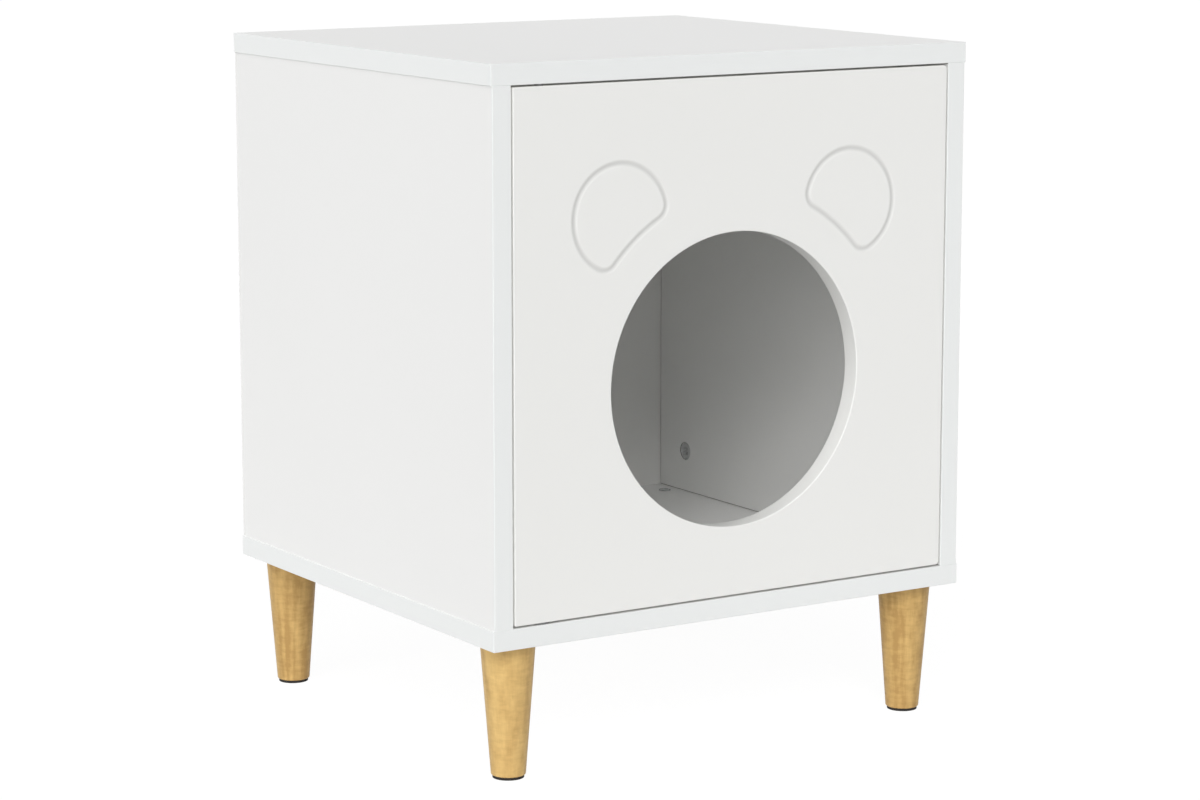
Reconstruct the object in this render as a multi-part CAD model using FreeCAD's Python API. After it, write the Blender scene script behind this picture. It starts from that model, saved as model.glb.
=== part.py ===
import FreeCAD, Part
import math
import os

from FreeCAD import Vector

# Cat house: a gloss white flat-pack cabinet on four turned legs. Its inset door carries the
# round way in and two routed ears. Millimetres, +Z up, the front looks along -Y and the origin
# is on the floor under the middle of the cabinet.

# Case
cabinet_width = 410.0
cabinet_depth = 385.0
body_height = 410.0
leg_height = 100.0
board_thickness = 15.0
board_easing = 0.6
strip_thickness = 1.0
strip_easing = 0.3
back_thickness = 3.0

# Door, with its way in
door_thickness = 15.0
door_gap = 1.5
door_easing = 0.8
free_corner_radius = 3.0
opening_diameter = 215.0
opening_height = 160.0
opening_chamfer = 1.0

# Routed ears, placed from the middle of the way in
ear_radius = 39.0
ear_distance = 158.0
ear_bearing = 51.0
ear_base_radius = 138.5
ear_tip_radius = 11.0
groove_width = 4.0
groove_depth = 1.8

# Legs and the bolts that hold them
leg_inset = 28.5
leg_top_diameter = 40.0
leg_foot_diameter = 25.0
leg_foot_chamfer = 1.0
pad_diameter = 22.8
pad_thickness = 2.0
leg_bolt_diameter = 6.0
leg_bolt_reach = 25.0
leg_bolt_head_diameter = 10.0
leg_bolt_head_height = 1.2

# Cam fittings between the sides and the two boards
cam_diameter = 15.0
cam_depth = 12.0
cam_end_distance = 34.0
cam_rear_inset = 40.5
cam_bolt_diameter = 5.0
cam_bolt_depth = 11.0
cam_bolt_head_diameter = 7.0
cam_bolt_head_length = 3.0
cam_bolt_bore_diameter = 8.0

# Pins on which the door turns
pivot_inset = 25.0
pivot_pin_diameter = 6.0
pivot_door_depth = 22.0
pivot_board_depth = 11.0
pivot_washer_diameter = 13.0

# Magnetic catch behind the free side of the door
catch_drop = 60.0
catch_length = 48.0
catch_block_length = 30.0
catch_depth = 15.0
catch_reach = 20.0
catch_foot_thickness = 2.5
catch_corner = 2.5
pole_length = 24.0
pole_depth = 10.0
pole_thickness = 1.4
pole_projection = 1.0
magnet_thickness = 5.0
magnet_recess = 0.6
strike_length = 34.0
strike_width = 12.0
strike_thickness = 1.0
strike_corner = 2.0

# Clearances
fit_clearance = 0.1
running_clearance = 0.05
end_clearance = 0.5

# Places that follow from the sizes
half_width = cabinet_width / 2
front_y = -cabinet_depth / 2
rear_y = cabinet_depth / 2
core_rear = rear_y - strip_thickness
room_floor = leg_height + board_thickness
room_ceiling = leg_height + body_height - board_thickness
side_outer = half_width - strip_thickness
side_inner = side_outer - board_thickness
side_middle = side_outer - board_thickness / 2
side_rear = rear_y - back_thickness
door_half_width = side_inner - door_gap
door_low = room_floor + door_gap
door_high = room_ceiling - door_gap
door_back = front_y + door_thickness
opening_z = room_floor + opening_height
pivot_x = pivot_inset - door_half_width
pivot_y = front_y + door_thickness / 2
cam_y = rear_y - cam_rear_inset
leg_x = half_width - leg_inset
leg_y = rear_y - leg_inset
leg_places = ((-leg_x, -leg_y), (leg_x, -leg_y), (-leg_x, leg_y), (leg_x, leg_y))
catch_z = room_ceiling - catch_drop
catch_front = door_back + strike_thickness + pole_projection
catch_middle_x = side_inner - (catch_reach + catch_foot_thickness) / 2

# Both ends of a side board: the height of the end, and which way the board runs from there
side_ends = ((room_floor, 1), (room_ceiling, -1))

z_axis = Vector(0, 0, 1)


def block(first, last):
    """Box between any two opposite corners."""
    low = [min(pair) for pair in zip(first, last)]
    size = [abs(a - b) for a, b in zip(first, last)]
    return Part.makeBox(size[0], size[1], size[2], Vector(*low))


def rod(diameter, start, end):
    """Round bar between two points of its axis."""
    axis = Vector(*end) - Vector(*start)
    return Part.makeCylinder(diameter / 2, axis.Length, Vector(*start), axis)


def turned(profile, base, direction):
    """Solid turned from (radius, height) points, standing at base and running along direction."""
    points = [Vector(radius, 0, height) for radius, height in profile]
    face = Part.Face(Part.makePolygon(points + points[:1]))
    solid = face.revolve(Vector(0, 0, 0), z_axis, 360)
    turn = FreeCAD.Rotation(z_axis, Vector(*direction))
    solid.Placement = FreeCAD.Placement(Vector(*base), turn)
    return solid


def edges_at(solid, axis, value):
    """Edges of a solid that lie in the plane where one coordinate has the given value."""
    found = []
    for edge in solid.Edges:
        if all(abs(getattr(vertex.Point, axis) - value) < 1e-6 for vertex in edge.Vertexes):
            found.append(edge)
    return found


def edges_along(solid, direction):
    """Straight edges of a solid that run along a direction."""
    found = []
    for edge in solid.Edges:
        run = edge.Vertexes[-1].Point - edge.Vertexes[0].Point
        if run.Length > 0 and run.cross(Vector(*direction)).Length < 1e-6 * run.Length:
            found.append(edge)
    return found


def save(name, *solids):
    """Write one node: a single solid, or a group of separate solids."""
    shape = solids[0] if len(solids) == 1 else Part.makeCompound(list(solids))
    shape.exportStep("parts/" + name + ".step")


def board_core(low, holes):
    """Coated board of the top or the bottom without its edge strips, less its holes."""
    core = block((-side_outer, -core_rear, low), (side_outer, core_rear, low + board_thickness))
    return core.cut(holes)


def board_strips(low):
    """The four edge strips round the top or the bottom, those at front and rear over the full width."""
    high = low + board_thickness
    slab = block((-half_width, front_y, low), (half_width, rear_y, high))
    slab = slab.makeChamfer(strip_easing, slab.Edges)
    rooms = [
        block((-half_width, front_y, low), (half_width, -core_rear, high)),
        block((-half_width, core_rear, low), (half_width, rear_y, high)),
        block((-half_width, -core_rear, low), (-side_outer, core_rear, high)),
        block((side_outer, -core_rear, low), (half_width, core_rear, high)),
    ]
    return [slab.common(room).Solids[0] for room in rooms]


def face_holes(end, run):
    """Blind holes in the board at one end of the sides, for two cam bolts and a pivot pin."""
    holes = []
    for side in (-1, 1):
        x = side * side_middle
        bolt_end = end - run * (cam_bolt_depth + end_clearance)
        holes.append(rod(cam_bolt_diameter + 2 * fit_clearance, (x, cam_y, end), (x, cam_y, bolt_end)))
    pin_end = end - run * (pivot_board_depth + fit_clearance)
    holes.append(rod(pivot_pin_diameter + 2 * fit_clearance, (pivot_x, pivot_y, end), (pivot_x, pivot_y, pin_end)))
    return holes


def top_panel():
    """Top board, bored from below."""
    return board_core(room_ceiling, face_holes(room_ceiling, -1))


def bottom_panel():
    """Bottom board, bored from above and right through for the leg bolts."""
    holes = face_holes(room_floor, 1)
    for x, y in leg_places:
        holes.append(rod(leg_bolt_diameter + 2 * fit_clearance, (x, y, leg_height), (x, y, room_floor)))
    return board_core(leg_height, holes)


def side_panel(side):
    """Side board, eased inside along its ends and its rear, with a cam bore and a bolt bore at each end."""
    inner = side * side_inner
    middle = side * side_middle
    holes = []
    for end, run in side_ends:
        cam_z = end + run * cam_end_distance
        cam_bottom = inner + side * (cam_depth + fit_clearance)
        holes.append(rod(cam_diameter, (inner, cam_y, cam_z), (cam_bottom, cam_y, cam_z)))
        holes.append(rod(cam_bolt_bore_diameter, (middle, cam_y, end), (middle, cam_y, cam_z)))
    board_front = front_y + strip_thickness
    board = block((inner, board_front, room_floor), (side * side_outer, side_rear, room_ceiling))
    eased = [edge for edge in edges_at(board, "x", inner) if max(v.Y for v in edge.Vertexes) > board_front]
    return board.makeChamfer(board_easing, eased).cut(holes)


def side_strip(side):
    """Edge strip on the front edge of a side board, eased along its two long edges."""
    strip = block(
        (side * side_inner, front_y, room_floor),
        (side * side_outer, front_y + strip_thickness, room_ceiling),
    )
    long_edges = [edge for edge in edges_along(strip, (0, 0, 1)) if edge.Vertexes[0].Y == front_y]
    return strip.makeChamfer(strip_easing, long_edges)


def back_panel():
    """Thin back between top and bottom, laid on the rear edges of the sides."""
    return block((-side_outer, side_rear, room_floor), (side_outer, rear_y, room_ceiling))


def ear_arcs():
    """Centre, radius, start and sweep in degrees of the four tangent arcs of one ear's outline.

    The outline lies in the plane of the door, about the middle of the way in, with the ear along
    the first axis: a base arc round the way in, an outer arc and a small round at each tip.
    """
    to_tip = ear_base_radius + ear_tip_radius
    from_ear = ear_radius - ear_tip_radius
    tip_s = (to_tip ** 2 - from_ear ** 2 + ear_distance ** 2) / (2 * ear_distance)
    tip_t = math.sqrt(to_tip ** 2 - tip_s ** 2)
    base_angle = math.degrees(math.atan2(tip_t, tip_s))
    outer_angle = math.degrees(math.atan2(tip_t, tip_s - ear_distance))
    tip_sweep = 180 + base_angle - outer_angle
    return (
        ((0, 0), ear_base_radius, -base_angle, 2 * base_angle),
        ((ear_distance, 0), ear_radius, -outer_angle, 2 * outer_angle),
        ((tip_s, tip_t), ear_tip_radius, outer_angle, tip_sweep),
        ((tip_s, -tip_t), ear_tip_radius, -outer_angle - tip_sweep, tip_sweep),
    )


def groove_piece(centre, radius, start, sweep):
    """Rectangular section of the groove turned along one arc, half of it in front of the face."""
    angle = math.radians(start)
    outward = Vector(math.cos(angle), 0, math.sin(angle)) * (groove_width / 2)
    depth = Vector(0, groove_depth, 0)
    middle = Vector(centre[0], 0, centre[1])
    point = middle + Vector(math.cos(angle), 0, math.sin(angle)) * radius
    corners = [
        point - outward - depth,
        point + outward - depth,
        point + outward + depth,
        point - outward + depth,
    ]
    section = Part.Face(Part.makePolygon(corners + corners[:1]))
    return section.revolve(middle, Vector(0, -1, 0), sweep)


def ear_grooves():
    """Bodies that rout both ears into the face of the door."""
    pieces = []
    for bearing in (ear_bearing, 180 - ear_bearing):
        for arc in ear_arcs():
            piece = groove_piece(*arc)
            piece.rotate(Vector(0, 0, 0), Vector(0, -1, 0), bearing)
            piece.translate(Vector(0, front_y, opening_z))
            pieces.append(piece)
    return pieces


def way_in():
    """Body of the round way in through the door, chamfered towards both faces."""
    radius = opening_diameter / 2
    rim = radius + opening_chamfer
    profile = [
        (0, 0),
        (rim, 0),
        (radius, opening_chamfer),
        (radius, door_thickness - opening_chamfer),
        (rim, door_thickness),
        (0, door_thickness),
    ]
    return turned(profile, (0, front_y, opening_z), (0, 1, 0))


def door_panel():
    """Painted door: eased edges, rounded free corners, the way in, the ears and the pivot bores."""
    panel = block((-door_half_width, front_y, door_low), (door_half_width, door_back, door_high))
    free_corners = [edge for edge in edges_along(panel, (0, 1, 0)) if edge.Vertexes[0].X > 0]
    panel = panel.makeFillet(free_corner_radius, free_corners)
    panel = panel.makeChamfer(door_easing, edges_at(panel, "y", front_y) + edges_at(panel, "y", door_back))
    panel = panel.cut(way_in())
    panel = panel.cut(ear_grooves())
    bores = []
    for edge, run in ((door_low, 1), (door_high, -1)):
        bore_end = edge + run * (pivot_door_depth + end_clearance)
        bore = pivot_pin_diameter + 2 * running_clearance
        bores.append(rod(bore, (pivot_x, pivot_y, edge), (pivot_x, pivot_y, bore_end)))
    return panel.cut(bores)


def leg(x, y):
    """Turned tapering leg with a broken edge at the foot, bored at the top for its bolt."""
    length = leg_height - pad_thickness
    top = Vector(x, y, leg_height)
    body = Part.makeCone(leg_top_diameter / 2, leg_foot_diameter / 2, length, top, Vector(0, 0, -1))
    body = body.makeChamfer(leg_foot_chamfer, edges_at(body, "z", pad_thickness))
    bore_end = leg_height - leg_bolt_reach - end_clearance
    return body.cut(rod(leg_bolt_diameter + 2 * fit_clearance, (x, y, leg_height), (x, y, bore_end)))


def leg_bolt(x, y):
    """Bolt from the floor of the room down into a leg, under a low head."""
    shank = leg_bolt_diameter / 2
    head = leg_bolt_head_diameter / 2
    point = -board_thickness - leg_bolt_reach
    profile = [
        (0, point),
        (shank, point),
        (shank, 0),
        (head, 0),
        (head, leg_bolt_head_height),
        (0, leg_bolt_head_height),
    ]
    return turned(profile, (x, y, room_floor), (0, 0, 1))


def foot_pad(x, y):
    """Dark pad under a leg."""
    return rod(pad_diameter, (x, y, 0), (x, y, pad_thickness))


def cam_lock(side, end, run):
    """Cam in the inner face of a side board, open towards the end of the board for its bolt."""
    inner = side * side_inner
    middle = side * side_middle
    z = end + run * cam_end_distance
    cam = rod(cam_diameter - 2 * fit_clearance, (inner, cam_y, z), (inner + side * cam_depth, cam_y, z))
    half_mouth = cam_bolt_head_diameter / 2 + fit_clearance
    mouth_end = z + run * (cam_bolt_head_length / 2 + end_clearance)
    mouth = block(
        (middle - half_mouth, cam_y - half_mouth, z - run * cam_diameter),
        (middle + half_mouth, cam_y + half_mouth, mouth_end),
    )
    return cam.cut(mouth)


def cam_bolt(side, end, run):
    """Bolt set in the top or bottom board, its head inside a cam."""
    shank = cam_bolt_diameter / 2
    head = cam_bolt_head_diameter / 2
    head_end = cam_end_distance + cam_bolt_head_length / 2
    head_start = head_end - cam_bolt_head_length
    profile = [
        (0, -cam_bolt_depth),
        (shank, -cam_bolt_depth),
        (shank, head_start),
        (head, head_start),
        (head, head_end),
        (0, head_end),
    ]
    return turned(profile, (side * side_middle, cam_y, end), (0, 0, run))


def pivot_pin(end, run):
    """Steel pin set in the top or bottom board, on which a bore in the door turns."""
    start = (pivot_x, pivot_y, end - run * pivot_board_depth)
    return rod(pivot_pin_diameter, start, (pivot_x, pivot_y, end + run * (door_gap + pivot_door_depth)))


def pivot_washer():
    """Washer round the lower pin, which fills the gap and carries the door."""
    low = (pivot_x, pivot_y, room_floor)
    high = (pivot_x, pivot_y, door_low)
    return rod(pivot_washer_diameter, low, high).cut(rod(pivot_pin_diameter + 2 * fit_clearance, low, high))


def catch_housing():
    """Housing of the magnetic catch: a foot with two ears on the side board, and a pocketed block."""
    back = catch_front + catch_depth
    foot_x = side_inner - catch_foot_thickness
    half_foot = catch_length / 2
    half_block = catch_block_length / 2
    foot = block((foot_x, catch_front, catch_z - half_foot), (side_inner, back, catch_z + half_foot))
    foot = foot.makeChamfer(catch_corner, edges_along(foot, (1, 0, 0)))
    outer = side_inner - catch_reach
    body = block((outer, catch_front, catch_z - half_block), (foot_x, back, catch_z + half_block))
    half_pocket = magnet_thickness / 2 + pole_thickness + fit_clearance
    tall_pocket = pole_length / 2 + fit_clearance
    pocket = block(
        (catch_middle_x - half_pocket, catch_front, catch_z - tall_pocket),
        (catch_middle_x + half_pocket, catch_front + pole_depth, catch_z + tall_pocket),
    )
    return foot.fuse(body).removeSplitter().cut(pocket)


def catch_magnet():
    """Magnet between the plates, set back a little from their front edges."""
    half = magnet_thickness / 2
    tall = pole_length / 2
    front = catch_front - pole_projection + magnet_recess
    return block(
        (catch_middle_x - half, front, catch_z - tall),
        (catch_middle_x + half, catch_front + pole_depth, catch_z + tall),
    )


def pole_plate(side):
    """Steel plate on one side of the magnet, reaching to the strike plate."""
    inner = catch_middle_x + side * magnet_thickness / 2
    tall = pole_length / 2
    return block(
        (inner, catch_front - pole_projection, catch_z - tall),
        (inner + side * pole_thickness, catch_front + pole_depth, catch_z + tall),
    )


def strike_plate():
    """Steel plate on the back of the door, which the magnet holds."""
    half = strike_width / 2
    tall = strike_length / 2
    plate = block(
        (catch_middle_x - half, door_back, catch_z - tall),
        (catch_middle_x + half, door_back + strike_thickness, catch_z + tall),
    )
    return plate.makeChamfer(strike_corner, edges_along(plate, (0, 1, 0)))


os.makedirs("parts", exist_ok=True)

save("top_panel", top_panel())
save("top_edge_strips", *board_strips(room_ceiling))
save("bottom_panel", bottom_panel())
save("bottom_edge_strips", *board_strips(leg_height))
save("back_panel", back_panel())
save("door_panel", door_panel())

for name, side in (("left", -1), ("right", 1)):
    save(name + "_side_panel", side_panel(side))
    save(name + "_front_strip", side_strip(side))
    save(name + "_cam_locks", *[cam_lock(side, end, run) for end, run in side_ends])
    save(name + "_cam_bolts", *[cam_bolt(side, end, run) for end, run in side_ends])

save("legs", *[leg(x, y) for x, y in leg_places])
save("leg_bolts", *[leg_bolt(x, y) for x, y in leg_places])
save("foot_pads", *[foot_pad(x, y) for x, y in leg_places])

save("lower_pivot_pin", pivot_pin(room_floor, 1))
save("upper_pivot_pin", pivot_pin(room_ceiling, -1))
save("pivot_washer", pivot_washer())

save("catch_housing", catch_housing())
save("catch_magnet", catch_magnet())
save("catch_pole_plates", pole_plate(-1), pole_plate(1))
save("strike_plate", strike_plate())
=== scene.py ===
import logging
import math
from dataclasses import dataclass
from enum import Enum

import bmesh
import bpy
import numpy as np
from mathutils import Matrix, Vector
from mathutils.geometry import delaunay_2d_cdt


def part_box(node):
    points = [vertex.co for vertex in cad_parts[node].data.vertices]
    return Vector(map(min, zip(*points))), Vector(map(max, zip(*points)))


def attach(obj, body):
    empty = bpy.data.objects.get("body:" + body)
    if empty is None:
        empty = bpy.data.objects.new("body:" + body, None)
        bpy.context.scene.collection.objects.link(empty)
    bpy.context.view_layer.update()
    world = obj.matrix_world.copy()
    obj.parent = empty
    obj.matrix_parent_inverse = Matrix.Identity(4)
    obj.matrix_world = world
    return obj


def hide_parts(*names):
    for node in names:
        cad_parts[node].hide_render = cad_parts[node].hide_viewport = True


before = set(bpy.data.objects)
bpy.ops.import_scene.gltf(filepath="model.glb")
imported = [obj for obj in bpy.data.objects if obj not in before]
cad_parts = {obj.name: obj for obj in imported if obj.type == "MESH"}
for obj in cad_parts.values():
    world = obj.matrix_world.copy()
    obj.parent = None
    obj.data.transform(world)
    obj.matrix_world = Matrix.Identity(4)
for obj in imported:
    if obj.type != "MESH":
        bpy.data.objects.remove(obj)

log = logging.getLogger("cat_house")

MM = 0.001  # metres in a millimetre
WELD = 0.001  # grid on which points merge, in millimetres
CREASE = math.radians(40)  # an edge that turns more than this stays sharp
HULL = 0  # kind of triangulation: every triangle of the convex hull
NEAR = 1e-5  # points of a flat fill that are nearer are one, in millimetres
EVEN = (1.0, 1.0, 1.0)  # scale of an even pattern
# The routed attribute also sets how far painted shade greys the door's grooves.
GROOVE_SHADE = "routed"  # attribute of the door: share of the groove's depth
GRAIN = "grain"  # attribute of the legs: place in their own timber, in millimetres
Colour = tuple[float, float, float]
Point = tuple[float, float, float]
Socket = bpy.types.NodeSocket


class Side(Enum):
    """Left or right half of the cabinet, seen from the front."""

    LEFT = -1
    RIGHT = 1


class Shell:
    """Skin sewn together from grid surfaces and flat fills, in millimetres."""

    def __init__(self, name: str, mark: str = "") -> None:
        """Start an empty skin.

        Args:
            name: Name of the finished piece.
            mark: Name of the attribute that its points carry for their finish, if they carry one.
        """
        self.name = name
        self.mark = mark
        self.points: list[np.ndarray] = []
        self.triangles: list[np.ndarray] = []
        self.smooth: list[np.ndarray] = []
        self.marks: list[np.ndarray] = []
        self.count = 0

    def fill(
        self, points: np.ndarray, triangles: np.ndarray, smooth: bool, marks: np.ndarray | None = None
    ) -> None:
        """Add triangles on their own points.

        Args:
            points: Points, n by 3.
            triangles: Rows of three point numbers.
            smooth: Whether the faces shade as one curved surface.
            marks: Attribute of each point, n by 3, or nothing for zero.
        """
        self.points.append(points)
        self.marks.append(np.zeros(points.shape) if marks is None else marks)
        self.triangles.append(triangles + self.count)
        self.smooth.append(np.full(len(triangles), smooth))
        self.count += len(points)

    def grid(self, surface: np.ndarray, marks: np.ndarray | None = None) -> None:
        """Add a curved surface of rows by columns whose last column meets its first.

        Args:
            surface: Points, rows by columns by 3.
            marks: Attribute of each point, of the same shape.
        """
        rows, columns = surface.shape[:2]
        number = np.arange(rows * columns).reshape(rows, columns)
        beside = np.roll(number, -1, axis=1)
        first = np.stack([number[:-1], beside[:-1], beside[1:]], axis=-1).reshape(-1, 3)
        second = np.stack([number[:-1], beside[1:], number[1:]], axis=-1).reshape(-1, 3)
        flat_marks = None if marks is None else marks.reshape(-1, 3)
        self.fill(surface.reshape(-1, 3), np.concatenate([first, second]), True, flat_marks)

    def sewn(self) -> bpy.types.Object:
        """Merge equal points, drop faces without area, turn the faces outwards and make the object.

        Returns:
            The finished piece, at the origin.
        """
        points = np.concatenate(self.points)
        keys = np.round(points / WELD).astype(np.int64)
        _, first, place = np.unique(keys, axis=0, return_index=True, return_inverse=True)
        triangles = place.reshape(-1)[np.concatenate(self.triangles)]
        smooth = np.concatenate(self.smooth)
        a, b, c = triangles.T
        kept = (a != b) & (b != c) & (c != a)
        triangles, smooth = triangles[kept], smooth[kept]
        mesh = bpy.data.meshes.new(self.name)
        mesh.vertices.add(len(first))
        mesh.vertices.foreach_set("co", (points[first] * MM).astype(np.float32).ravel())
        mesh.loops.add(3 * len(triangles))
        mesh.loops.foreach_set("vertex_index", triangles.astype(np.int32).ravel())
        mesh.polygons.add(len(triangles))
        mesh.polygons.foreach_set("loop_start", np.arange(len(triangles), dtype=np.int32) * 3)
        mesh.update(calc_edges=True)
        if self.mark:
            marks = mesh.attributes.new(self.mark, "FLOAT_VECTOR", "POINT")
            marks.data.foreach_set("vector", np.concatenate(self.marks)[first].astype(np.float32).ravel())
        work = bmesh.new()
        work.from_mesh(mesh)
        bmesh.ops.recalc_face_normals(work, faces=work.faces[:])
        work.to_mesh(mesh)
        work.free()
        mesh.set_sharp_from_angle(angle=CREASE)
        mesh.polygons.foreach_set("use_smooth", smooth)
        piece = bpy.data.objects.new(self.name, mesh)
        bpy.context.scene.collection.objects.link(piece)
        log.info("%s: %d triangles", self.name, len(triangles))
        return piece


@dataclass(frozen=True)
class Seat:
    """Where a turned piece sits: the middle of its base, its axis and a direction across it."""

    base: Point
    axis: Point
    across: Point

    def placed(self, local: np.ndarray) -> np.ndarray:
        """Carry points from (across, beside, along the axis) to the cabinet.

        Args:
            local: Points whose last axis holds the three local coordinates.

        Returns:
            The points in the cabinet's frame.
        """
        axis, across = np.array(self.axis, float), np.array(self.across, float)
        beside = np.cross(axis, across)
        return np.array(self.base) + local @ np.stack([across, beside, axis])


def around(count: int) -> np.ndarray:
    """Angles of a full turn in equal steps, without the last."""
    return np.linspace(0.0, 2 * math.pi, count, endpoint=False)


def eased(corners: list[Point], steps: int) -> np.ndarray:
    """Profile through corner points, each rounded by an arc that is tangent to both its sides.

    The arc of radius q at a corner whose sides enclose the angle w starts q / tan(w / 2) before it.

    Args:
        corners: Radius, height and rounding of each corner.
        steps: Points on each arc.

    Returns:
        The profile, n by 2.
    """
    profile = [np.array([corners[0][:2]])]
    for before, here, after in zip(corners, corners[1:], corners[2:]):
        corner, rounding = np.array(here[:2]), here[2]
        back = np.array(before[:2]) - corner
        ahead = np.array(after[:2]) - corner
        back, ahead = back / np.linalg.norm(back), ahead / np.linalg.norm(ahead)
        half = math.acos(float(np.clip(back @ ahead, -1, 1))) / 2
        reach = rounding / math.tan(half)
        middle = corner + (back + ahead) / np.linalg.norm(back + ahead) * rounding / math.sin(half)
        start, end = corner + back * reach - middle, corner + ahead * reach - middle
        share = np.linspace(0.0, 1.0, steps)[:, None]
        sweep = math.pi - 2 * half
        arc = (np.sin((1 - share) * sweep) * start + np.sin(share * sweep) * end) / math.sin(sweep)
        profile.append(middle + arc)
    profile.append(np.array([corners[-1][:2]]))
    return np.concatenate(profile)


def turned(profile: np.ndarray, columns: int) -> np.ndarray:
    """Surface of a profile turned round the third axis: (r cos a, r sin a, h).

    Args:
        profile: Radius and height of each row.
        columns: Points round the turn.

    Returns:
        Rows by columns by 3 points.
    """
    angle = around(columns)
    radius, height = profile[:, :1], profile[:, 1:]
    return np.stack([radius * np.cos(angle), radius * np.sin(angle), height + 0 * angle], axis=-1)


def swept(outline: np.ndarray, outward: np.ndarray, profile: np.ndarray, front: float) -> np.ndarray:
    """Surface of a profile carried along a closed outline in the plane of the door.

    The point of row i and column j is the outline's point j, moved by the row's inset against the
    outward direction there, and set back from the front by the row's depth.

    Args:
        outline: Points of the outline, n by 2, across and up.
        outward: Unit directions out of the material, n by 2.
        profile: Inset and depth of each row.
        front: Place of the front face.

    Returns:
        Rows by columns by 3 points.
    """
    flat = outline - profile[:, None, :1] * outward
    depth = np.broadcast_to(front + profile[:, 1:], flat.shape[:2])
    return np.stack([flat[..., 0], depth, flat[..., 1]], axis=-1)


def inside(loop: np.ndarray, points: np.ndarray) -> np.ndarray:
    """Tell which points lie in a loop, by counting the sides that a line to the right crosses.

    Args:
        loop: Corner points, n by 2.
        points: Points to test, m by 2.

    Returns:
        m truth values.
    """
    ahead = np.roll(loop, -1, axis=0)
    x, y = points[:, :1], points[:, 1:]
    spans = (loop[:, 1] > y) != (ahead[:, 1] > y)
    rise = np.where(ahead[:, 1] == loop[:, 1], 1.0, ahead[:, 1] - loop[:, 1])
    crossing = loop[:, 0] + (y - loop[:, 1]) * (ahead[:, 0] - loop[:, 0]) / rise
    return (spans & (x < crossing)).sum(axis=1) % 2 == 1


def flat_fill(loops: list[np.ndarray]) -> tuple[np.ndarray, np.ndarray]:
    """Triangles of a flat face bounded by nested loops, where an odd number of loops lies round it.

    Args:
        loops: Boundary loops, each n by 2.

    Returns:
        The points, and the triangles as rows of point numbers.
    """
    points = np.concatenate(loops)
    starts = np.cumsum([0] + [len(loop) for loop in loops])
    runs = [np.arange(first, last) for first, last in zip(starts, starts[1:])]
    sides = np.concatenate([np.stack([run, np.roll(run, -1)], axis=1) for run in runs])
    _, _, faces, origins, _, _ = delaunay_2d_cdt(points.tolist(), sides.tolist(), [], HULL, NEAR, True)
    source = np.array([origin[0] for origin in origins])
    triangles = source[np.array(faces)]
    middles = points[triangles].mean(axis=1)
    depth = sum(inside(loop, middles).astype(int) for loop in loops)
    return points, triangles[depth % 2 == 1]


@dataclass(frozen=True)
class Head:
    """Round head of a fitting with a cross drive, on a plain shank; sizes in millimetres.

    The figures of the top and the rim are shares of the radius, and those of the slots are shares
    of the drive's size.
    """

    radius: float
    height: float
    crown: float
    drive_size: float
    drive_depth: float
    shank_radius: float
    shank_length: float
    top_share: float = 0.9
    rim_fall: float = 0.12
    rim_round: float = 0.05
    easing: float = 0.01
    slot_half_width: float = 0.27
    slot_slope: float = 0.3
    rows: int = 26
    columns: int = 60
    arc_points: int = 4

    def drive(self, x: np.ndarray, y: np.ndarray) -> np.ndarray:
        """Share of the drive's depth over the head: 1 in the cut, 0 outside it, sloping between.

        Args:
            x: First coordinate on the head.
            y: Second coordinate on the head.

        Returns:
            The share, of the shape of x.
        """
        size = self.drive_size
        half_width = size * self.slot_half_width
        one = np.maximum(np.abs(x) - size, np.abs(y) - half_width)
        other = np.maximum(np.abs(y) - size, np.abs(x) - half_width)
        gap = np.minimum(one, other)
        return np.clip(0.5 - gap / (size * self.slot_slope), 0.0, 1.0)

    def add_to(self, shell: Shell, seat: Seat) -> None:
        """Add one fitting to a skin.

        The top is a polar grid: its height falls by crown * (r / radius)^2 towards the rim, less
        the drive's depth; the rim, the underside and the shank are a turned profile.

        Args:
            shell: Skin that takes the surfaces.
            seat: Where the underside of the head sits.
        """
        angle = around(self.columns)
        radius = np.linspace(0.0, self.top_share * self.radius, self.rows)[:, None]
        x, y = radius * np.cos(angle), radius * np.sin(angle)
        top = self.height - self.crown * (radius / self.radius) ** 2
        top = top - self.drive_depth * self.drive(x, y)
        shell.grid(seat.placed(np.stack([x, y, top + 0 * x], axis=-1)))
        rim = self.height - self.crown * self.top_share**2
        corners = [
            (self.top_share * self.radius, rim, 0.0),
            (self.radius, rim - self.rim_fall * self.radius, self.rim_round * self.radius),
            (self.radius, 0.0, self.easing),
            (self.shank_radius, 0.0, self.easing),
            (self.shank_radius, -self.shank_length, self.easing),
            (0.0, -self.shank_length, 0.0),
        ]
        shell.grid(seat.placed(turned(eased(corners, self.arc_points), self.columns)))


class Nodes:
    """Node tree that is built up from nothing."""

    def __init__(self, tree: bpy.types.NodeTree) -> None:
        """Empty the tree."""
        self.tree = tree
        self.tree.nodes.clear()

    def add(self, kind: str) -> bpy.types.Node:
        """Add a node."""
        return self.tree.nodes.new(kind)

    def join(self, source: Socket, target: Socket) -> None:
        """Link two sockets."""
        self.tree.links.new(source, target)

    def math(self, operation: str, *values: Socket | float) -> Socket:
        """Result of a Math node.

        Args:
            operation: What it does with its values.
            values: Sockets and constants.

        Returns:
            The value socket.
        """
        node = self.add("ShaderNodeMath")
        node.operation = operation
        for socket, value in zip(node.inputs, values):
            if isinstance(value, float):
                socket.default_value = value
            else:
                self.join(value, socket)
        return node.outputs["Value"]


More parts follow.
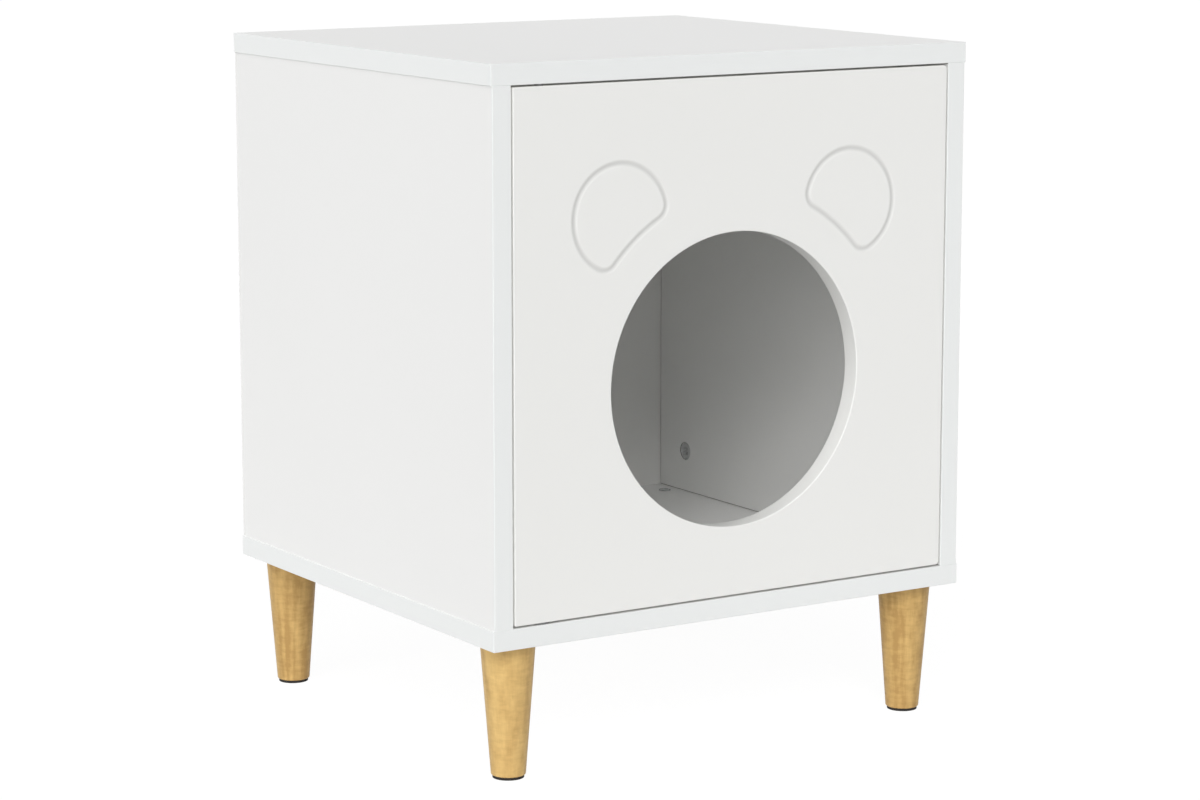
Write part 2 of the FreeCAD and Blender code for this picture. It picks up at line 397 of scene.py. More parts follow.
class Recipe(Nodes):
    """Node tree of one finish, round a Principled shader."""

    def __init__(self, name: str) -> None:
        """Make an empty material.

        Args:
            name: Name of the finish.
        """
        self.material = bpy.data.materials.new(name)
        self.material.use_nodes = True
        super().__init__(self.material.node_tree)
        self.shader = self.add("ShaderNodeBsdfPrincipled")
        output = self.add("ShaderNodeOutputMaterial")
        self.join(self.shader.outputs["BSDF"], output.inputs["Surface"])

    def socket(self, name: str) -> Socket:
        """One of the shader's inputs."""
        return self.shader.inputs[name]

    def tint(self, colour: Socket) -> None:
        """Give the shader its colour."""
        self.join(colour, self.socket("Base Color"))

    def place(self, scale: Point, attribute: str = "") -> Socket:
        """Coordinates that a pattern reads, scaled along each axis.

        Args:
            scale: Scale along the three axes.
            attribute: Name of a point attribute, or nothing for Object coordinates.

        Returns:
            The vector socket.
        """
        mapping = self.add("ShaderNodeMapping")
        mapping.inputs["Scale"].default_value = scale
        source = self.add("ShaderNodeAttribute" if attribute else "ShaderNodeTexCoord")
        if attribute:
            source.attribute_name = attribute
        self.join(source.outputs["Vector" if attribute else "Object"], mapping.inputs["Vector"])
        return mapping.outputs["Vector"]

    def noise(self, place: Socket, scale: float, detail: float, roughness: float = 0.5) -> Socket:
        """Cloudy pattern from 0 to 1.

        Args:
            place: Coordinates.
            scale: Clouds in a unit of length.
            detail: Octaves.
            roughness: Strength of each octave against the one before.

        Returns:
            The value socket.
        """
        node = self.add("ShaderNodeTexNoise")
        node.inputs["Scale"].default_value = scale
        node.inputs["Detail"].default_value = detail
        node.inputs["Roughness"].default_value = roughness
        self.join(place, node.inputs["Vector"])
        return node.outputs["Fac"]

    def ramp(self, factor: Socket, stops: list[tuple[float, Colour]]) -> Socket:
        """Colours along a factor.

        Args:
            factor: Value from 0 to 1.
            stops: Places and their colours.

        Returns:
            The colour socket.
        """
        node = self.add("ShaderNodeValToRGB")
        elements = node.color_ramp.elements
        while len(elements) < len(stops):
            elements.new(0.5)
        for element, (position, colour) in zip(elements, stops):
            element.position = position
            element.color = (*colour, 1.0)
        self.join(factor, node.inputs["Fac"])
        return node.outputs["Color"]

    def span(
        self, factor: Socket, low: float, high: float, start: float = 0.3, end: float = 0.7
    ) -> Socket:
        """Values from low to high as a factor goes from start to end.

        Args:
            factor: Value that drives the change.
            low: First value.
            high: Last value.
            start: Factor at the first value.
            end: Factor at the last value.

        Returns:
            The value socket.
        """
        node = self.add("ShaderNodeMapRange")
        for name, value in (("From Min", start), ("From Max", end), ("To Min", low), ("To Max", high)):
            node.inputs[name].default_value = value
        self.join(factor, node.inputs["Value"])
        return node.outputs["Result"]

    def clouded(
        self, cloud: Socket, colour: Colour, shade: float, start: float = 0.3, end: float = 0.7
    ) -> Socket:
        """Colour that falls to a share of itself in the low parts of a cloudy pattern."""
        return self.ramp(cloud, [(start, tuple(value * shade for value in colour)), (end, colour)])

    def polish(self, cloud: Socket, roughness: float, low: float, high: float) -> None:
        """Let a cloudy pattern vary the shader's roughness between two shares of it."""
        self.join(self.span(cloud, roughness * low, roughness * high), self.socket("Roughness"))

    def mixed(self, factor: Socket, colour: Socket, other: Colour) -> Socket:
        """Colour that turns into another where a factor goes from 0 to 1.

        Args:
            factor: Share of the other colour.
            colour: First colour.
            other: Other colour.

        Returns:
            The colour socket.
        """
        node = self.add("ShaderNodeMix")
        node.data_type = "RGBA"
        sockets = {socket.identifier: socket for socket in [*node.inputs, *node.outputs]}
        sockets["B_Color"].default_value = (*other, 1.0)
        self.join(factor, sockets["Factor_Float"])
        self.join(colour, sockets["A_Color"])
        return sockets["Result_Color"]

    def relief(self, height: Socket, strength: float, distance: float) -> None:
        """Give the shader a relief.

        Args:
            height: Height from 0 to 1.
            strength: Share of the relief that shows.
            distance: Its height in metres.
        """
        node = self.add("ShaderNodeBump")
        node.inputs["Strength"].default_value = strength
        node.inputs["Distance"].default_value = distance
        self.join(height, node.inputs["Height"])
        self.join(node.outputs["Normal"], self.socket("Normal"))


@dataclass(frozen=True)
class GlossWhite:
    """White coating with faint clouds and a faint ripple in its gloss."""

    name: str
    slot: str
    colour: Colour
    roughness: float = 0.3
    ripple: float = 0.012
    index: float = 1.5

    def material(self) -> bpy.types.Material:
        """Coating whose white and gloss vary a little over the board.

        Returns:
            The material.
        """
        recipe = Recipe(self.name)
        recipe.socket("IOR").default_value = self.index
        place = recipe.place(EVEN)
        cloud = recipe.noise(place, scale=3.0, detail=1.0)
        white = recipe.clouded(cloud, self.colour, shade=0.97, start=0.0, end=1.0)
        recipe.tint(self.tone(recipe, place, white))
        recipe.polish(cloud, self.roughness, low=0.96, high=1.04)
        recipe.relief(recipe.noise(place, scale=260.0, detail=2.0), strength=self.ripple, distance=0.0001)
        return recipe.material

    def tone(self, recipe: Recipe, place: Socket, white: Socket) -> Socket:
        """Colour over the piece: white everywhere."""
        return white


@dataclass(frozen=True)
class JointShadeCoating(GlossWhite):
    """White coating of the side boards, with painted shade in a dark line on their eased inner edges."""

    # Painted shade: a near-black line that stands for the shade in the joints between the boards.
    joint_shade: Colour = (0.16, 0.145, 0.125)
    inner_face: float = 0.189
    easing: float = 0.0006
    shade_line_share: float = 0.46

    def tone(self, recipe: Recipe, place: Socket, white: Socket) -> Socket:
        """Colour over the piece: a painted shade line between the inner face and the end of the easing.

        Args:
            recipe: Recipe that takes the nodes.
            place: Coordinates.
            white: Colour of the coating.

        Returns:
            The colour socket.
        """
        # Painted shade: a dark line on the eased inner edges, where the side boards meet the others.
        axes = recipe.add("ShaderNodeSeparateXYZ")
        recipe.join(place, axes.inputs["Vector"])
        across = recipe.math("ABSOLUTE", axes.outputs["X"])
        middle, reach = self.inner_face + self.easing / 2, self.easing * self.shade_line_share
        return recipe.mixed(recipe.math("COMPARE", across, middle, reach), white, self.joint_shade)


@dataclass(frozen=True)
class GrooveShadePaint(GlossWhite):
    """White paint on fibreboard, greyed by painted shade in the routed grooves."""

    # Painted shade: the grey of a groove at its deepest.
    routed: Colour = (0.70, 0.70, 0.684)

    def tone(self, recipe: Recipe, place: Socket, white: Socket) -> Socket:
        """Colour over the piece: white, greyed as painted shade by the share of the groove's depth.

        Args:
            recipe: Recipe that takes the nodes.
            place: Coordinates, not used.
            white: Colour of the paint.

        Returns:
            The colour socket.
        """
        depth = recipe.add("ShaderNodeAttribute")
        depth.attribute_name = GROOVE_SHADE
        return recipe.mixed(depth.outputs["Fac"], white, self.routed)


@dataclass(frozen=True)
class LacqueredWood:
    """Pale straight-grained timber under clear satin lacquer.

    Scales are in patterns to a millimetre, twice across the grain and once along it. The heart
    ends and the sapwood starts at a distance from the middle of the tree, in millimetres.
    """

    name: str = "lacquered_wood"
    slot: str = "leg_wood"
    pale: Colour = (0.79, 0.545, 0.215)
    middle: Colour = (0.655, 0.430, 0.162)
    dark: Colour = (0.47, 0.285, 0.098)
    specular: float = 0.25
    ring_scale: Point = (0.05, 0.05, 0.005)
    zone_scale: Point = (0.055, 0.055, 0.012)
    ring_weight: float = 0.28
    fibre_scale: Point = (1.1, 1.1, 0.035)
    fibre_weight: float = 0.12
    patch_scale: Point = (0.11, 0.11, 0.035)
    patch_weight: float = 0.47
    ripple_scale: Point = (0.1, 0.1, 0.34)
    ripple_weight: float = 0.24
    # Darker heart: the timber's heart tone, and painted shade where the legs turn it to the cabinet's
    # middle.
    heart_shade_weight: float = 0.42
    heart_end: float = 90.0
    sapwood_start: float = 165.0

    def cloud(self, recipe: Recipe, scale: Point, detail: float, roughness: float = 0.6) -> Socket:
        """Cloudy pattern in the timber's own millimetres."""
        return recipe.noise(recipe.place(scale, GRAIN), 1.0, detail, roughness)

    def material(self) -> bpy.types.Material:
        """Darker heart that serves as painted shade, zones of rings, patches along the grain, ripples
        across it and fine fibres.

        Returns:
            The material.
        """
        recipe = Recipe(self.name)
        recipe.socket("Specular IOR Level").default_value = self.specular
        rings = recipe.add("ShaderNodeTexWave")
        rings.wave_type = "RINGS"
        rings.rings_direction = "Z"
        rings.wave_profile = "SIN"
        for name, value in (("Scale", 1.0), ("Distortion", 5.0), ("Detail", 3.0), ("Detail Scale", 1.2)):
            rings.inputs[name].default_value = value
        recipe.join(recipe.place(self.ring_scale, GRAIN), rings.inputs["Vector"])
        zone = self.cloud(recipe, self.zone_scale, detail=1.0, roughness=0.5)
        zone = recipe.span(zone, 0.0, self.ring_weight)
        fibre = self.cloud(recipe, self.fibre_scale, detail=4.0)
        patches = self.cloud(recipe, self.patch_scale, detail=3.0)
        ripples = self.cloud(recipe, self.ripple_scale, detail=2.0)
        radius = recipe.add("ShaderNodeVectorMath")
        radius.operation = "LENGTH"
        recipe.join(recipe.place((1.0, 1.0, 0.0), GRAIN), radius.inputs[0])
        ends = (self.heart_end, self.sapwood_start)
        # Darkness of the heart, which the legs use as painted shade on their inner sides under the
        # cabinet.
        heart = recipe.span(radius.outputs["Value"], self.heart_shade_weight, 0.0, *ends)
        tone = recipe.math("MULTIPLY_ADD", recipe.span(fibre, 0.0, 1.0), self.fibre_weight, heart)
        tone = recipe.math("MULTIPLY_ADD", zone, rings.outputs["Fac"], tone)
        tone = recipe.math("MULTIPLY_ADD", recipe.span(patches, 0.0, 1.0), self.patch_weight, tone)
        tone = recipe.math("MULTIPLY_ADD", recipe.span(ripples, 0.0, 1.0), self.ripple_weight, tone)
        recipe.tint(recipe.ramp(tone, [(0.15, self.pale), (0.55, self.middle), (1.0, self.dark)]))
        recipe.join(recipe.span(fibre, low=0.40, high=0.50), recipe.socket("Roughness"))
        recipe.relief(fibre, strength=0.1, distance=0.0001)
        return recipe.material


@dataclass(frozen=True)
class Metal:
    """Plain metal with a slightly clouded polish."""

    name: str
    slot: str
    colour: Colour
    roughness: float

    def material(self) -> bpy.types.Material:
        """Metal whose tone and polish vary in fine clouds.

        Returns:
            The material.
        """
        recipe = Recipe(self.name)
        recipe.socket("Metallic").default_value = 1.0
        cloud = recipe.noise(recipe.place(EVEN), scale=420.0, detail=3.0)
        recipe.tint(recipe.clouded(cloud, self.colour, shade=0.86))
        recipe.polish(cloud, self.roughness, low=0.8, high=1.2)
        recipe.relief(cloud, strength=0.15, distance=0.00005)
        return recipe.material


@dataclass(frozen=True)
class Dull:
    """Matt finish with a fine tooth: moulded plastic, felt or ferrite."""

    name: str
    slot: str
    colour: Colour
    roughness: float
    tooth: float
    relief: float

    def material(self) -> bpy.types.Material:
        """Finish whose tone follows its tooth.

        Returns:
            The material.
        """
        recipe = Recipe(self.name)
        cloud = recipe.noise(recipe.place(EVEN), scale=self.tooth, detail=4.0, roughness=0.6)
        recipe.tint(recipe.clouded(cloud, self.colour, shade=0.8))
        recipe.polish(cloud, self.roughness, low=0.92, high=1.05)
        recipe.relief(cloud, strength=0.3, distance=self.relief)
        return recipe.material


Finish = GlossWhite | LacqueredWood | Metal | Dull

WHITE = (0.905, 0.905, 0.895)
BOARD = GlossWhite("gloss_board", "gloss_board", WHITE)
SIDE = JointShadeCoating("joint_shade_gloss_board", "gloss_board", WHITE)
STRIP = GlossWhite("edge_strip", "edge_strip", (0.872, 0.89, 0.883), ripple=0.01, index=2.2)
BACK = GlossWhite("back_board", "back_board", WHITE, roughness=0.05, ripple=0.003, index=2.2)
PAINT = GrooveShadePaint("painted_door", "painted_door", (0.905, 0.905, 0.884), roughness=0.25)
WOOD = LacqueredWood()
ZINC = Metal("die_cast_zinc", "zinc", (0.72, 0.73, 0.74), roughness=0.5)
STEEL = Metal("plated_steel", "steel", (0.66, 0.67, 0.68), roughness=0.28)
PIN = Metal("blackened_steel", "pin_steel", (0.3, 0.3, 0.31), roughness=0.5)
FELT = Dull("foot_felt", "foot_felt", (0.03, 0.027, 0.025), roughness=0.92, tooth=2400.0, relief=0.0003)
NYLON = Dull("dark_nylon", "dark_nylon", (0.2, 0.2, 0.205), roughness=0.5, tooth=1500.0, relief=0.00004)
PLASTIC = Dull(
    "moulded_plastic", "white_plastic", (0.78, 0.78, 0.77), roughness=0.45, tooth=1500.0, relief=0.00004
)
FERRITE = Dull("ferrite", "magnet", (0.06, 0.06, 0.065), roughness=0.7, tooth=1800.0, relief=0.00006)


class Palette:
    """Materials made so far, one for each finish."""

    def __init__(self) -> None:
        """Start with no materials."""
        self.made: dict[str, bpy.types.Material] = {}

    def dress(self, piece: bpy.types.Object, finish: Finish) -> None:
        """Give a piece the material of its finish.

        Args:
            piece: CAD node or new piece.
            finish: Finish it takes.
        """
        if finish.name not in self.made:
            self.made[finish.name] = finish.material()
        piece.data.materials.clear()
        piece.data.materials.append(self.made[finish.name])

    def dress_node(self, node: str, finish: Finish) -> None:
        """Give a CAD node a finish."""
        self.dress(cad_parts[node], finish)
        log.info("%s: %s", node, finish.name)


@dataclass
class Case:
    """Boards, edge strips and back of the cabinet."""

    palette: Palette
    back_screw_inset: float = 8.5
    back_screws_a_side: int = 4
    back_screw_end: float = 45.0
    back_screw: Head = Head(
        radius=3.0, height=0.9, crown=0.45,
        drive_size=1.7, drive_depth=0.7, shank_radius=1.2, shank_length=10.0,
    )

    def build(self) -> None:
        """Dress the boards and fasten the back."""
        for node in ("top_panel", "bottom_panel"):
            self.palette.dress_node(node, BOARD)
        for node in ("left_side_panel", "right_side_panel"):
            self.palette.dress_node(node, SIDE)
        for node in ("top_edge_strips", "bottom_edge_strips", "left_front_strip", "right_front_strip"):
            self.palette.dress_node(node, STRIP)
        self.palette.dress_node("back_panel", BACK)
        self.back_screws()

    def back_screws(self) -> None:
        """Rows of small screws that hold the back to the rear edges of the sides."""
        low, high = (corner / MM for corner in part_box("back_panel"))
        lowest, highest = low.z + self.back_screw_end, high.z - self.back_screw_end
        shell = Shell("back_screws")
        for x in (low.x + self.back_screw_inset, high.x - self.back_screw_inset):
            for z in np.linspace(lowest, highest, self.back_screws_a_side):
                self.back_screw.add_to(shell, Seat((x, high.y, z), (0, 1, 0), (1, 0, 0)))
        screws = shell.sewn()
        self.palette.dress(screws, STEEL)
        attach(screws, "case")


@dataclass
class Door:
    """Painted door with its round way in, its routed ears and its strike plate."""

    palette: Palette
    edge_round: float = 0.6
    hung_corner: float = 1.0
    free_corner: float = 3.0
    opening_radius: float = 107.5
    opening_drop: float = 30.0
    opening_round: float = 0.8
    ear_radius: float = 39.0
    ear_distance: float = 158.0
    ear_bearing: float = 51.0
    ear_base_radius: float = 138.5
    ear_tip_radius: float = 11.0
    groove_half_width: float = 3.1
    groove_depth: float = 0.6
    round_points: int = 10
    corner_points: int = 13
    opening_points: int = 180
    ear_outer_points: int = 110
    ear_base_points: int = 50
    ear_tip_points: int = 20
    groove_points: int = 17
    strike_screw_end: float = 2.6
    strike_screw: Head = Head(
        radius=2.0, height=0.35, crown=0.1,
        drive_size=1.2, drive_depth=0.5, shank_radius=1.0, shank_length=8.0,
    )

    def build(self) -> None:
        """Make the panel, and dress it and the plate on its back."""
        panel = self.panel()
        self.palette.dress(panel, PAINT)
        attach(panel, "door")
        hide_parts("door_panel")
        self.palette.dress_node("strike_plate", STEEL)
        screws = self.strike_screws()
        self.palette.dress(screws, STEEL)
        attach(screws, "door")

    def border(self, low: Vector, high: Vector) -> tuple[np.ndarray, np.ndarray]:
        """Outline of the panel, a rectangle with a quarter circle at each corner.

        Args:
            low: Lowest corner of the panel.
            high: Highest corner of the panel.

        Returns:
            Points and outward directions, n by 2 each, anticlockwise from the upper free corner.
        """
        quarter = np.linspace(0.0, math.pi / 2, self.corner_points)
        points, directions = [], []
        corners = (
            (high.x, high.z, self.free_corner),
            (low.x, high.z, self.hung_corner),
            (low.x, low.z, self.hung_corner),
            (high.x, low.z, self.free_corner),
        )
        for number, (x, z, radius) in enumerate(corners):
            angle = quarter + number * math.pi / 2
            outward = np.stack([np.cos(angle), np.sin(angle)], axis=1)
            middle = np.array([x, z]) - radius * np.sign(outward[self.corner_points // 2])
            points.append(middle + radius * outward)
            directions.append(outward)
        return np.concatenate(points), np.concatenate(directions)

    def rounded_wall(self, radius: float, thickness: float) -> np.ndarray:
        """Profile of an edge from front to back: a quarter circle, the wall, a quarter circle.

        Args:
            radius: Radius of the quarter circles.
            thickness: Thickness of the panel.

        Returns:
            Inset and depth of each row.
        """
        angle = np.linspace(0.0, math.pi / 2, self.round_points)
        quarter = np.stack([1 - np.sin(angle), 1 - np.cos(angle)], axis=1) * radius
        return np.concatenate([quarter, quarter[::-1] * (1.0, -1.0) + (0.0, thickness)])

    def ear(self, bearing: float) -> tuple[np.ndarray, np.ndarray]:
        """Middle line of one ear's groove: four tangent arcs.

        The base arc runs round the middle of the way in, the outer arc round the middle of the
        ear, and the two tips round the points at base radius + tip radius from the one and ear
        radius - tip radius from the other.

        Args:
            bearing: Direction of the ear in degrees from the middle of the way in.

        Returns:
            Points from the middle of the way in and outward directions, n by 2 each.
        """
        far, near = self.ear_base_radius + self.ear_tip_radius, self.ear_radius - self.ear_tip_radius
        along = (far**2 - near**2 + self.ear_distance**2) / (2 * self.ear_distance)
        aside = math.sqrt(far**2 - along**2)
        base = math.atan2(aside, along)
        outer = math.atan2(aside, along - self.ear_distance)
        tip, tip_points = self.ear_tip_radius, self.ear_tip_points
        arcs = (
            ((self.ear_distance, 0.0), self.ear_radius, -outer, outer, self.ear_outer_points, 1),
            ((along, aside), tip, outer, math.pi + base, tip_points, 1),
            ((0.0, 0.0), self.ear_base_radius, base, -base, self.ear_base_points, -1),
            ((along, -aside), tip, -math.pi - base, -outer, tip_points, 1),
        )
        turn = math.radians(bearing)
        c, s = math.cos(turn), math.sin(turn)
        points, directions = [], []
        for middle, radius, start, end, count, sense in arcs:
            angle = np.linspace(start, end, count, endpoint=False) + turn
            ray = np.stack([np.cos(angle), np.sin(angle)], axis=1)
            turned_middle = np.array([middle[0] * c - middle[1] * s, middle[0] * s + middle[1] * c])
            points.append(turned_middle + radius * ray)
            directions.append(sense * ray)
        return np.concatenate(points), np.concatenate(directions)

    def panel(self) -> bpy.types.Object:
        """Skin of the panel: both faces, the outer edge, the way in and the two grooves.

        The groove's depth is depth * (1 + cos(pi * s)) / 2 at the share s of its half width.

        Returns:
            The panel.
        """
        low, high = (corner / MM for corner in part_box("door_panel"))
        front, thickness = low.y, high.y - low.y
        centre = np.array([(low.x + high.x) / 2, (low.z + high.z) / 2 - self.opening_drop])
        shell = Shell("door", GROOVE_SHADE)
        border, border_out = self.border(low, high)
        edge = self.rounded_wall(self.edge_round, thickness)
        shell.grid(swept(border, border_out, edge, front))
        angle = around(self.opening_points)
        ray = np.stack([np.cos(angle), np.sin(angle)], axis=1)
        ring = centre + self.opening_radius * ray
        rim = self.rounded_wall(self.opening_round, thickness)
        shell.grid(swept(ring, -ray, rim, front))
        rear_loops = [border - self.edge_round * border_out, ring + self.opening_round * ray]
        front_loops = list(rear_loops)
        share = np.linspace(-1.0, 1.0, self.groove_points)
        depth = self.groove_depth * (1 + np.cos(math.pi * share)) / 2
        groove = np.stack([share * self.groove_half_width, depth], axis=1)
        # Share of the groove's depth, which the paint turns into painted shade.
        routed = np.repeat(depth[:, None] / self.groove_depth, 3, axis=1)[:, None, :]
        for bearing in (self.ear_bearing, 180 - self.ear_bearing):
            line, line_out = self.ear(bearing)
            surface = swept(centre + line, line_out, groove, front)
            shell.grid(surface, np.broadcast_to(routed, surface.shape))
            front_loops.append(centre + line + self.groove_half_width * line_out)
            front_loops.append(centre + line - self.groove_half_width * line_out)
        for loops, depth_of_face in ((front_loops, front), (rear_loops, front + thickness)):
            flat, triangles = flat_fill(loops)
            points = np.stack([flat[:, 0], np.full(len(flat), depth_of_face), flat[:, 1]], axis=1)
            shell.fill(points, triangles, False)
        return shell.sewn()

    def strike_screws(self) -> bpy.types.Object:
        """Two flat screws through the ends of the strike plate.

        Returns:
            The screws.
        """
        low, high = (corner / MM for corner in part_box("strike_plate"))
        shell = Shell("strike_screws")
        for z in (low.z + self.strike_screw_end, high.z - self.strike_screw_end):
            self.strike_screw.add_to(shell, Seat(((low.x + high.x) / 2, high.y, z), (0, 1, 0), (1, 0, 0)))
        return shell.sewn()


@dataclass
class Legs:
    """Four turned legs with their bolts and pads."""

    palette: Palette
    top_radius: float = 20.0
    foot_radius: float = 12.5
    foot_round: float = 1.2
    top_round: float = 0.4
    arc_points: int = 10
    columns: int = 96
    # Painted shade: a leg nearer its heart is darker all over, standing for shade under the cabinet.
    shade_heart_distances: tuple[float, ...] = (160.0, 106.0, 108.0, 132.0)
    timber_pitch: float = 300.0

    def build(self) -> None:
        """Make the legs and their bolts, and dress the pads."""
        legs = self.timber()
        self.palette.dress(legs, WOOD)
        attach(legs, "case")
        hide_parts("legs")
        bolts = self.bolts()
        self.palette.dress(bolts, STEEL)
        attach(bolts, "case")
        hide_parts("leg_bolts")
        self.palette.dress_node("foot_pads", FELT)

    def places(self) -> list[tuple[float, float]]:
        """Axes of the four legs.

        Returns:
            Places across and along the cabinet.
        """
        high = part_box("legs")[1] / MM
        x, y = high.x - self.top_radius, high.y - self.top_radius
        return [(-x, -y), (x, -y), (-x, y), (x, y)]

    def timber(self) -> bpy.types.Object:
        """Tapered legs turned from straight-grained timber.

        Each leg keeps its place in its own length of timber: the point is turned about the leg's
        axis so that the side towards the middle of the cabinet faces the darker heart of the tree, and
        moved away from that heart. This is painted shade: the inner sides, and the legs set nearer the
        heart, come out darker and stand for the shade under the cabinet.

        Returns:
            The four legs.
        """
        low, high = (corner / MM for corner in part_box("legs"))
        corners = [
            (0.0, low.z, 0.0),
            (self.foot_radius, low.z, self.foot_round),
            (self.top_radius, high.z, self.top_round),
            (0.0, high.z, 0.0),
        ]
        surface = turned(eased(corners, self.arc_points), self.columns)
        shell = Shell("turned_legs", GRAIN)
        for number, ((x, y), distance) in enumerate(zip(self.places(), self.shade_heart_distances)):
            turn = -math.atan2(y, x)
            c, s = math.cos(turn), math.sin(turn)
            spin = np.array([[c, s, 0.0], [-s, c, 0.0], [0.0, 0.0, 1.0]])
            own = surface @ spin + (distance, 0.0, self.timber_pitch * number)
            shell.grid(surface + (x, y, 0.0), own)
        return shell.sewn()

    def bolts(self) -> bpy.types.Object:
        """Bolts from the floor of the room into the legs.

        Returns:
            The four bolts.
        """
        low, high = (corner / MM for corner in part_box("leg_bolts"))
        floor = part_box("bottom_panel")[1].z / MM
        head = Head(
            radius=5.0, height=high.z - floor, crown=0.5,
            drive_size=2.6, drive_depth=1.1, shank_radius=3.0, shank_length=floor - low.z,
        )
        shell = Shell("bolts_in_legs")
        for x, y in self.places():
            head.add_to(shell, Seat((x, y, floor), (0, 0, 1), (1, 0, 0)))
        return shell.sewn()


@dataclass
class CamFittings:
    """Cams in the inner faces of the sides, with the bolts they pull."""

    palette: Palette
    radius: float = 7.4
    flange: float = 1.2
    barrel_share: float = 0.96
    drive_direction: Point = (0, 0.8, 0.6)

    def build(self) -> None:
        """Make the cams of both sides and dress their bolts."""
        for side, name in ((Side.LEFT, "left"), (Side.RIGHT, "right")):
            cams = self.cams(side, name)
            self.palette.dress(cams, ZINC)
            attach(cams, "case")
            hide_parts(name + "_cam_locks")
            self.palette.dress_node(name + "_cam_bolts", STEEL)

    def cams(self, side: Side, name: str) -> bpy.types.Object:
        """Two cams of one side, flush with its inner face.

        Args:
            side: Side of the cabinet.
            name: Its name in the CAD nodes.

        Returns:
            The cams.
        """
        low, high = (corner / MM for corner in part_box(name + "_cam_locks"))
        face = low.x if side is Side.RIGHT else high.x
        y = (low.y + high.y) / 2
        head = Head(
            radius=self.radius, height=self.flange, crown=0.05, drive_size=3.6, drive_depth=2.2,
            shank_radius=self.radius * self.barrel_share, shank_length=high.x - low.x - self.flange,
        )
        shell = Shell(name + "_cams")
        for z in (low.z + self.radius, high.z - self.radius):
            base = (face + side.value * self.flange, y, z)
            head.add_to(shell, Seat(base, (-side.value, 0, 0), self.drive_direction))
        return shell.sewn()


@dataclass
class Fittings:
    """Pins of the door and the magnetic catch."""

    palette: Palette
    catch_screw_end: float = 4.6
    catch_foot: float = 2.5
    catch_screw: Head = Head(
        radius=3.0, height=1.6, crown=0.6,
        drive_size=1.7, drive_depth=0.9, shank_radius=1.5, shank_length=12.0,
    )

    def build(self) -> None:
        """Dress the pins and the catch, and screw the catch to the side."""
        for node in ("lower_pivot_pin", "upper_pivot_pin"):
            self.palette.dress_node(node, PIN)
        self.palette.dress_node("pivot_washer", NYLON)
        self.palette.dress_node("catch_housing", PLASTIC)
        self.palette.dress_node("catch_pole_plates", STEEL)
        self.palette.dress_node("catch_magnet", FERRITE)
        screws = self.catch_screws()
        self.palette.dress(screws, STEEL)
        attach(screws, "case")

    def catch_screws(self) -> bpy.types.Object:
        """Two screws through the foot of the catch.

        Returns:
            The screws.
        """
        low, high = (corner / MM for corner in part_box("catch_housing"))
        shell = Shell("catch_screws")
        for z in (low.z + self.catch_screw_end, high.z - self.catch_screw_end):
            base = (high.x - self.catch_foot, (low.y + high.y) / 2, z)
            self.catch_screw.add_to(shell, Seat(base, (-1, 0, 0), (0, 1, 0)))
        return shell.sewn()


@dataclass(frozen=True)
class Lamp:
    """Distant soft light.

    Angles are in degrees, and the heading runs from straight in front towards the left. A lamp of
    low glare isn't mirrored in gloss.
    """

    name: str
    heading: float
    height: float
    spread: float
    strength: float
    low_glare: bool = False
    distance: float = 3.0

    def build(self) -> None:
        """Hang the lamp and point it at the object."""
        light = bpy.data.lights.new(self.name, "SUN")
        light.angle = math.radians(self.spread)
        light.energy = self.strength
        lamp = bpy.data.objects.new(self.name, light)
        flat, rise = math.radians(self.heading), math.radians(self.height)
        back = Vector((-math.sin(flat) * math.cos(rise), -math.cos(flat) * math.cos(rise), math.sin(rise)))
        lamp.location = back * self.distance
        lamp.rotation_euler = (-back).to_track_quat("-Z", "Y").to_euler()
        lamp.visible_glossy = not self.low_glare
        bpy.context.scene.collection.objects.link(lamp)


LAMPS = (
    Lamp("key", heading=48.0, height=55.0, spread=50.0, strength=0.603),
    Lamp("front", heading=26.0, height=35.0, spread=20.0, strength=0.895, low_glare=True),
    Lamp("fill", heading=58.0, height=15.0, spread=50.0, strength=1.49, low_glare=True),
)


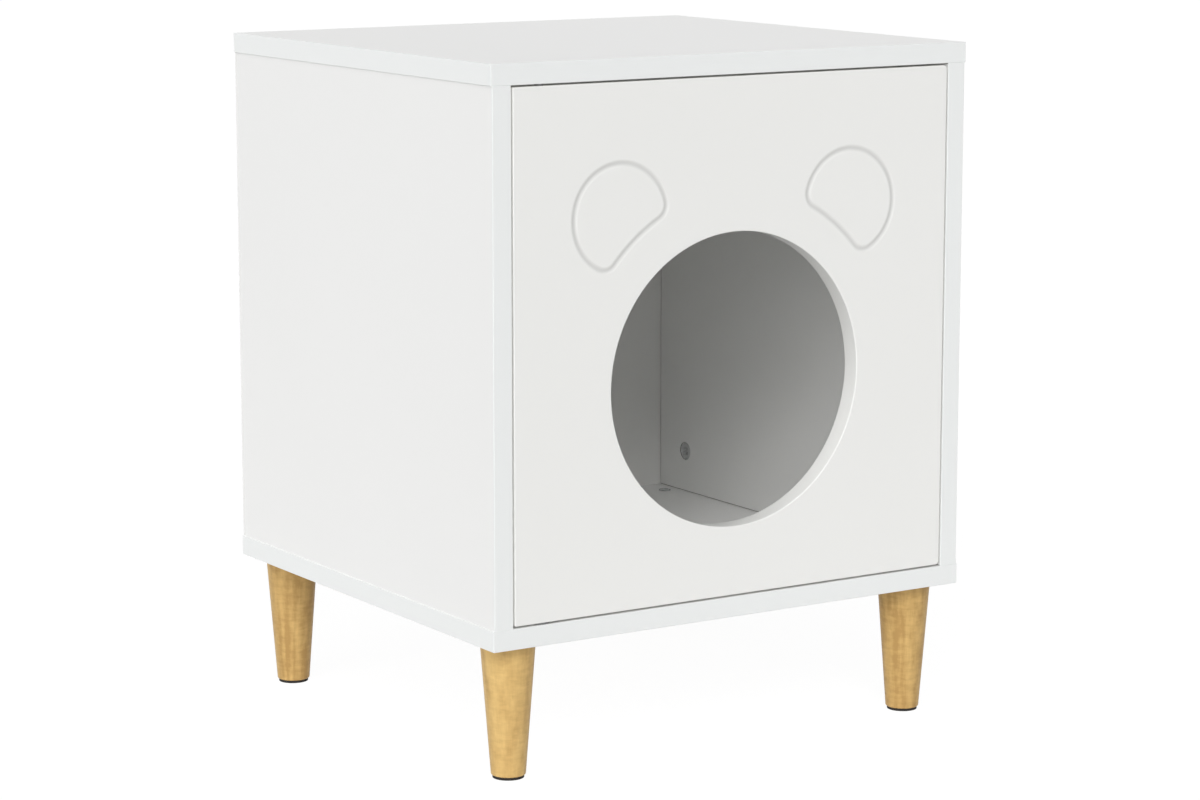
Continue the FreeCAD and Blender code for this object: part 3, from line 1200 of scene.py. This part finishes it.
@dataclass
class Studio:
    """White floor, soft light and the camera."""

    lamps: tuple[Lamp, ...] = LAMPS
    sky: float = 0.253
    backdrop: float = 1.0
    bounces: int = 12
    floor_half_width: float = 30.0
    floor_colour: Colour = (0.8, 0.8, 0.8)
    floor_glow: float = 0.88
    floor_white: float = 1.08
    camera_place: Point = (-1.4134, -2.2118, 0.6864)
    camera_heading: float = 32.699
    camera_dip: float = 9.819
    lens: float = 104.003
    sensor: float = 36.0
    clip: tuple[float, float] = (0.05, 100.0)

    def build(self) -> None:
        """Set the stage round the object."""
        self.floor()
        self.world()
        for lamp in self.lamps:
            lamp.build()
        self.camera()
        bpy.context.scene.view_settings.view_transform = "Standard"
        bpy.context.scene.cycles.diffuse_bounces = self.bounces

    def show(self, nodes: Nodes, lights: Socket, shows: Socket, share: float, output: str) -> None:
        """Let the camera see one shader, directly, in gloss or through glass, while another lights.

        Args:
            nodes: Tree that takes the nodes.
            lights: Shader that lights the object.
            shows: Shader that the camera sees.
            share: Share of it in what the camera sees.
            output: Kind of output node.
        """
        path = nodes.add("ShaderNodeLightPath")
        seen = path.outputs["Is Camera Ray"]
        for ray in ("Is Glossy Ray", "Is Transmission Ray"):
            seen = nodes.math("MAXIMUM", seen, path.outputs[ray])
        mix = nodes.add("ShaderNodeMixShader")
        nodes.join(nodes.math("MULTIPLY", seen, share), mix.inputs["Fac"])
        nodes.join(lights, mix.inputs[1])
        nodes.join(shows, mix.inputs[2])
        nodes.join(mix.outputs["Shader"], nodes.add(output).inputs["Surface"])

    def floor(self) -> None:
        """Wide white floor that keeps a faint shadow."""
        mesh = bpy.data.meshes.new("floor")
        corners = np.array([(-1, -1, 0), (1, -1, 0), (1, 1, 0), (-1, 1, 0)]) * self.floor_half_width
        mesh.from_pydata(corners.tolist(), [], [(0, 1, 2, 3)])
        floor = bpy.data.objects.new("floor", mesh)
        bpy.context.scene.collection.objects.link(floor)
        material = bpy.data.materials.new("studio_floor")
        material.use_nodes = True
        nodes = Nodes(material.node_tree)
        diffuse = nodes.add("ShaderNodeBsdfDiffuse")
        diffuse.inputs["Color"].default_value = (*self.floor_colour, 1.0)
        glow = nodes.add("ShaderNodeEmission")
        glow.inputs["Strength"].default_value = self.floor_white
        shaders = (diffuse.outputs["BSDF"], glow.outputs["Emission"])
        self.show(nodes, *shaders, share=self.floor_glow, output="ShaderNodeOutputMaterial")
        mesh.materials.append(material)

    def world(self) -> None:
        """Even sky light with a white background."""
        world = bpy.data.worlds.new("studio")
        world.use_nodes = True
        nodes = Nodes(world.node_tree)
        shaders = []
        for strength in (self.sky, self.backdrop):
            light = nodes.add("ShaderNodeBackground")
            light.inputs["Color"].default_value = (1.0, 1.0, 1.0, 1.0)
            light.inputs["Strength"].default_value = strength
            shaders.append(light.outputs["Background"])
        self.show(nodes, *shaders, share=1.0, output="ShaderNodeOutputWorld")
        bpy.context.scene.world = world

    def camera(self) -> None:
        """Camera in front of the left corner, looking a little down."""
        data = bpy.data.cameras.new("camera")
        data.lens = self.lens
        data.sensor_width = self.sensor
        data.clip_start, data.clip_end = self.clip
        camera = bpy.data.objects.new("camera", data)
        camera.location = self.camera_place
        tilt, heading = math.radians(90.0 - self.camera_dip), math.radians(self.camera_heading)
        camera.rotation_euler = (tilt, 0.0, -heading)
        bpy.context.scene.collection.objects.link(camera)
        bpy.context.scene.camera = camera


def main() -> None:
    """Build the looks round the CAD frame, in order."""
    logging.basicConfig(level=logging.INFO, format="%(name)s %(message)s")
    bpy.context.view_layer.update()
    palette = Palette()
    Case(palette).build()
    Door(palette).build()
    Legs(palette).build()
    CamFittings(palette).build()
    Fittings(palette).build()
    Studio().build()


if __name__ == "__main__":
    main()
